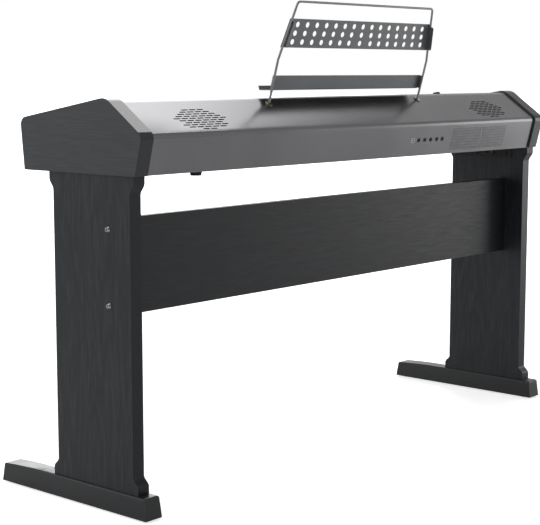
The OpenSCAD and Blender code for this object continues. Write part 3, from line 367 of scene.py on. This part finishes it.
def finishNode(name, material, edgeMm):
    # welds the imported faces, rounds the edges and keeps the flat faces flat in the shading.
    # Sheet is left unwelded: its faces then keep their own flat shading round every slot
    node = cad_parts[name]
    node.data.materials.clear()
    node.data.materials.append(material)
    for face in node.data.polygons:
        face.use_smooth = True
    node.data.set_sharp_from_angle(angle=creaseAngle)
    if edgeMm == 0:
        return
    weld = node.modifiers.new("weld", "WELD")
    weld.merge_threshold = 0.002 * mm
    bevel = node.modifiers.new("easedEdges", "BEVEL")
    bevel.width = edgeMm * mm
    bevel.segments = 3
    bevel.limit_method = "ANGLE"
    bevel.angle_limit = creaseAngle
    shading = node.modifiers.new("flatShading", "WEIGHTED_NORMAL")
    shading.keep_sharp = True


for name, (material, edgeMm) in nodeFinish.items():
    finishNode(name, material, edgeMm)
print("nodes finished:", len(nodeFinish))

# the rest's bent wire: one round tube with true bends
wire = {"origin": (0, 127.83, 762.62), "tilt": 74.3, "diameter": 5, "halfWidth": 258, "foot": -38,
        "knee": 90.8, "kneeBend": 14, "topHalfWidth": 233.4, "top": 210.9, "cornerBend": 9, "sides": 28,
        "bendSteps": 14}


def bentPath(corners, steps):
    # corners are (x, y, bend radius); each bend becomes an arc between its two tangent points
    path = []
    for i, (x, y, bend) in enumerate(corners):
        if bend == 0:
            path.append(Vector((x, y)))
            continue
        corner = Vector((x, y))
        toBefore = (Vector(corners[i - 1][:2]) - corner).normalized()
        toAfter = (Vector(corners[i + 1][:2]) - corner).normalized()
        half = toBefore.angle(toAfter) / 2
        reach = bend / math.tan(half)
        centre = corner + (toBefore + toAfter).normalized() * bend / math.sin(half)
        start = corner + toBefore * reach - centre
        sweep = (corner + toAfter * reach - centre).angle_signed(start)
        for k in range(steps + 1):
            path.append(centre + Matrix.Rotation(sweep * k / steps, 2) @ start)
    return path


def tubeMesh(path, radius, sides, plane):
    # rings across the path, mitred at each point, with a cap at each end
    points = []
    for i, here in enumerate(path):
        before = (path[max(i, 1)] - path[max(i, 1) - 1]).normalized()
        last = min(i + 1, len(path) - 1)
        after = (path[last] - path[last - 1]).normalized()
        across = Vector((before.y + after.y, -before.x - after.x)).normalized()
        reach = radius / across.dot(Vector((after.y, -after.x)))
        for k in range(sides):
            turn = 2 * math.pi * k / sides
            flat = here + across * reach * math.cos(turn)
            points.append(plane(flat.x, flat.y, math.sin(turn) * radius))
    return points, ringFaces(len(path), sides) + capFaces(len(path), sides)


corners = [(-wire["halfWidth"], wire["foot"], 0), (-wire["halfWidth"], wire["knee"], wire["kneeBend"]),
           (-wire["topHalfWidth"], wire["top"], wire["cornerBend"])]
corners += [(-x, y, bend) for x, y, bend in reversed(corners)]
wirePath = bentPath(corners, wire["bendSteps"])
restPlane = planeAt(wire["origin"], wire["tilt"])
wirePoints, wireFaces = tubeMesh(wirePath, wire["diameter"] / 2, wire["sides"], restPlane)
newPiece("restWire", wirePoints, wireFaces, wirePaintHighlighted, "music_rest", "rest_frame")

# a cloth stretched over each speaker's rim, just under the sloping cover
slope = {"ridge": (109.932, 775.246), "run": (0.817, -0.5766), "tilt": -35.21}
speaker = {"x": 494, "downSlope": 67, "across": 144, "down": 68, "cloth": 0.6, "sheet": 1.2, "sag": 0.3,
           "sagRun": 10, "air": 0.05, "weave": 0.2, "endSteps": 24}


def ovalRing(length, width, z, plane, x):
    # a ring of points with straight sides and half-round ends, its length along X
    ends = speaker["endSteps"]
    middle = (length - width) / 2
    radius = width / 2
    ring = []
    for side in (1, -1):
        for k in range(ends + 1):
            turn = math.pi * k / ends - math.pi / 2
            along = side * (middle + math.cos(turn) * radius)
            ring.append(plane(x + along, side * math.sin(turn) * radius, z))
    return ring


def ovalLayers(layers, x):
    # layers are (length, width, height), from the middle of one side round the rim to the other's
    ridgeY, ridgeZ = slope["ridge"]
    runY, runZ = slope["run"]
    down = speaker["downSlope"]
    plane = planeAt((0, ridgeY + runY * down, ridgeZ + runZ * down), slope["tilt"])
    points = []
    for length, width, z in layers:
        points += ovalRing(length, width, z, plane, x)
    sides = 2 * (speaker["endSteps"] + 1)
    return points, ringFaces(len(layers), sides) + capFaces(len(layers), sides)


def stretchedCloth(x, name):
    # the cloth dips a little inside its rim and is as thick as its weave
    top = -speaker["sheet"] - speaker["air"]
    low = -speaker["sheet"] - speaker["cloth"] + speaker["air"]
    length = speaker["across"]
    width = speaker["down"]
    layers = []
    for inset in (50, 34, 20, 12, 6, 3, 0):
        dip = speaker["sag"] * (1 - math.exp(-inset / speaker["sagRun"]))
        layers.append((length - inset, width - inset, top - dip))
    back = [(a, b, max(z - speaker["weave"], low)) for a, b, z in reversed(layers)]
    points, faces = ovalLayers(layers + back, x)
    cloth = newPiece(name, points, faces, clothMaterial, "piano", "grille_cloths")


for side, word in ((-1, "Left"), (1, "Right")):
    stretchedCloth(side * speaker["x"], "speakerCloth" + word)
print("rest wire and speaker cloths made")

# the volume knob: a moulded cap with fine ribs, a domed top and a pointer groove
knob = {"x": -403, "panel": (81.629, 770.316), "tilt": 9.88, "diameter": 18, "top": 16, "height": 6.5,
        "gap": 0.5, "shaft": 6, "shaftDepth": 7.5, "ribs": 36, "ribMm": 0.35, "pointsPerRib": 6}
groove = {"halfWidth": 0.75, "start": 2.4, "end": 8.2, "depth": 0.7, "shoulder": 0.5}


def knobMesh():
    plane = planeAt((0, *knob["panel"]), knob["tilt"])
    sides = knob["ribs"] * knob["pointsPerRib"]
    foot = knob["diameter"] / 2
    crown = knob["top"] / 2
    shaft = knob["shaft"] / 2
    height = knob["height"]
    gap = knob["gap"]
    # radius, height and how much of the rib shows, from the shaft's end up to the middle of the top
    profile = [(shaft, -knob["shaftDepth"], 0), (shaft, gap, 0), (foot - 0.6, gap, 0), (foot, gap + 0.5, 0),
               (foot - 0.05, 1.6, 0), (foot - 0.08, 1.9, 1), (crown + 0.12, height - 1.7, 1),
               (crown + 0.06, height - 1.3, 0), (crown, height - 0.9, 0), (crown - 0.3, height - 0.35, 0),
               (crown - 0.9, height - 0.06, 0), (crown - 1.6, height, 0), (crown - 3.0, height - 0.1, 0),
               (1.0, height - 0.16, 0)]
    points = []
    for radius, z, ribbed in profile:
        for k in range(sides):
            turn = 2 * math.pi * k / sides
            wave = 0.5 - 0.5 * math.cos(turn * knob["ribs"])
            own = radius - ribbed * knob["ribMm"] * wave
            flatX = math.sin(turn) * own
            flatY = math.cos(turn) * own
            onLine = abs(flatX) < groove["halfWidth"] and groove["start"] < flatY < groove["end"]
            cut = groove["depth"] if onLine and z > height - groove["shoulder"] else 0
            points.append(plane(knob["x"] - flatX, flatY, z - cut))
    return points, ringFaces(len(profile), sides) + capFaces(len(profile), sides)


knobPoints, knobFaces = knobMesh()
newPiece("volumeKnob", knobPoints, knobFaces, mouldedAbs, "volume_knob_body",
         "volume_knob", sharpAngle=40)
print("volume knob made")

# stage: a pale paper sweep, overexposed as a studio's is, so that only the contact shadows show
sweep = {"half": 40.0, "height": -0.0004, "glow": 0.66, "nearRadius": 1.2, "farRadius": 3.2, "farGlow": 0.5}
floorMesh = bpy.data.meshes.new("floor")
half = sweep["half"]
floorMesh.from_pydata([(-half, -half, 0), (half, -half, 0), (half, half, 0), (-half, half, 0)],
                      [], [(0, 1, 2, 3)])
floor = bpy.data.objects.new("floor", floorMesh)
bpy.context.collection.objects.link(floor)
floor.location.z = sweep["height"]
# uncoated white paper, unrolled from a tube
floorMaterial, floorTree, floorShader = newMaterial("paper_sweep_white",
                                                    {"Roughness": 0.7, "Specular IOR Level": 0.2})
floorCoords = addNode(floorTree, "ShaderNodeTexCoord").outputs["Object"]
floorNoise = addNode(floorTree, "ShaderNodeTexNoise", {"Vector": floorCoords, "Scale": 3.0})
floorTone = addRamp(floorTree, floorNoise.outputs["Fac"], [(0.3, grey(0.88)), (0.7, grey(0.9))])
floorTree.links.new(floorTone, floorShader.inputs["Base Color"])
away = addNode(floorTree, "ShaderNodeVectorMath", {0: floorCoords}, operation="LENGTH")
brighter = addNode(floorTree, "ShaderNodeMapRange",
                   {"Value": away.outputs["Value"], "From Min": sweep["nearRadius"],
                    "From Max": sweep["farRadius"], "To Min": sweep["glow"],
                    "To Max": sweep["glow"] + sweep["farGlow"]},
                   interpolation_type="SMOOTHSTEP")
seenDirectly = addNode(floorTree, "ShaderNodeLightPath").outputs["Is Camera Ray"]
glow = addMath(floorTree, "MULTIPLY", brighter.outputs["Result"], seenDirectly)
floorShader.inputs["Emission Color"].default_value = grey(1.0)
floorTree.links.new(glow, floorShader.inputs["Emission Strength"])
floorMesh.materials.append(floorMaterial)

# light by direction: pale up to the shoulder, greyer overhead, and one bright screen towards the bass end,
# which dims to its edge and then stops
sky = {"low": 0.55, "high": 0.2, "screenEdge": 2.2, "screenFar": 3.6, "fill": 1.0, "shade": 0.35}


def buildWorld():
    world = bpy.data.worlds.new("studio")
    bpy.context.scene.world = world
    world.use_nodes = True
    tree = world.node_tree
    tree.nodes.clear()
    direction = addNode(tree, "ShaderNodeSeparateXYZ",
                        {"Vector": addNode(tree, "ShaderNodeTexCoord").outputs["Generated"]})
    dome = addRamp(tree, direction.outputs["Z"], [(0.0, grey(sky["low"])), (0.62, grey(sky["low"])),
                                                  (0.76, grey(sky["high"]))])
    width = addRamp(tree, addMath(tree, "MULTIPLY", direction.outputs["X"], -1.0),
                    [(0.45, grey(0.0)), (0.55, grey(1.0)), (0.69, grey(1.0)),
                     (0.745, grey(sky["screenEdge"] / sky["screenFar"])), (0.757, grey(0.0))])

    def softStep(axis, start, end, height=1.0):
        # rises from 0 to a height as the direction's share along an axis goes from start to end
        return addNode(tree, "ShaderNodeMapRange",
                       {"Value": direction.outputs[axis], "From Min": start, "From Max": end,
                        "To Max": height},
                       interpolation_type="SMOOTHSTEP").outputs["Result"]

    screen = addMath(tree, "MULTIPLY", width, softStep("Y", 0.0, -0.12, sky["screenFar"]))
    # at the treble end the player's side is filled with light and the back is shaded
    quarter = addNode(tree, "ShaderNodeMapRange",
                      {"Value": softStep("Y", 0.25, -0.45), "To Min": sky["shade"],
                       "To Max": 1.0 + sky["fill"]})
    share = addNode(tree, "ShaderNodeMix",
                    {0: softStep("X", -0.3, 0.3), 2: 1.0, 3: quarter.outputs["Result"]}, data_type="FLOAT")
    total = addMath(tree, "ADD", addMath(tree, "MULTIPLY", dome, share.outputs[0]), screen)
    light = addNode(tree, "ShaderNodeBackground", {"Color": grey(1.0), "Strength": total})
    seen = addNode(tree, "ShaderNodeBackground", {"Color": grey(1.0), "Strength": 1.0})
    ray = addNode(tree, "ShaderNodeLightPath")
    both = addNode(tree, "ShaderNodeMixShader",
                   {0: ray.outputs["Is Camera Ray"], 1: light.outputs[0], 2: seen.outputs[0]})
    addNode(tree, "ShaderNodeOutputWorld", {"Surface": both.outputs[0]})


buildWorld()

lamps = {
    "softboxAbove": {"place": (1.9, -0.2, 2.8), "aim": (0.2, 0, 0.4), "size": (2.4, 2.4), "power": 24},
    "softboxSide": {"place": (-3.2, 1.3, 0.8), "aim": (0, 0.3, 0.6), "size": (1.6, 1.5), "power": 17},
}
for name, kit in lamps.items():
    data = bpy.data.lights.new(name, "AREA")
    data.shape = "RECTANGLE"
    data.size, data.size_y = kit["size"]
    data.energy = kit["power"]
    lamp = bpy.data.objects.new(name, data)
    bpy.context.collection.objects.link(lamp)
    lamp.location = kit["place"]
    lamp.rotation_mode = "QUATERNION"
    lamp.rotation_quaternion = (Vector(kit["aim"]) - Vector(kit["place"])).to_track_quat("-Z", "Y")

view = {"place": (2.4403, 2.0553, 0.8257), "turn": 48.589, "down": 7.649, "lens": 94.69, "sensor": 36.0}
cameraData = bpy.data.cameras.new("camera")
cameraData.lens = view["lens"]
cameraData.sensor_width = view["sensor"]
camera = bpy.data.objects.new("camera", cameraData)
bpy.context.collection.objects.link(camera)
camera.location = view["place"]
turn = math.radians(view["turn"])
down = math.radians(view["down"])
forward = Vector((-math.sin(turn) * math.cos(down), -math.cos(turn) * math.cos(down), -math.sin(down)))
camera.rotation_mode = "QUATERNION"
camera.rotation_quaternion = forward.to_track_quat("-Z", "Y")
bpy.context.scene.camera = camera
bpy.context.scene.view_settings.view_transform = "Standard"
print("stage, light and camera set")
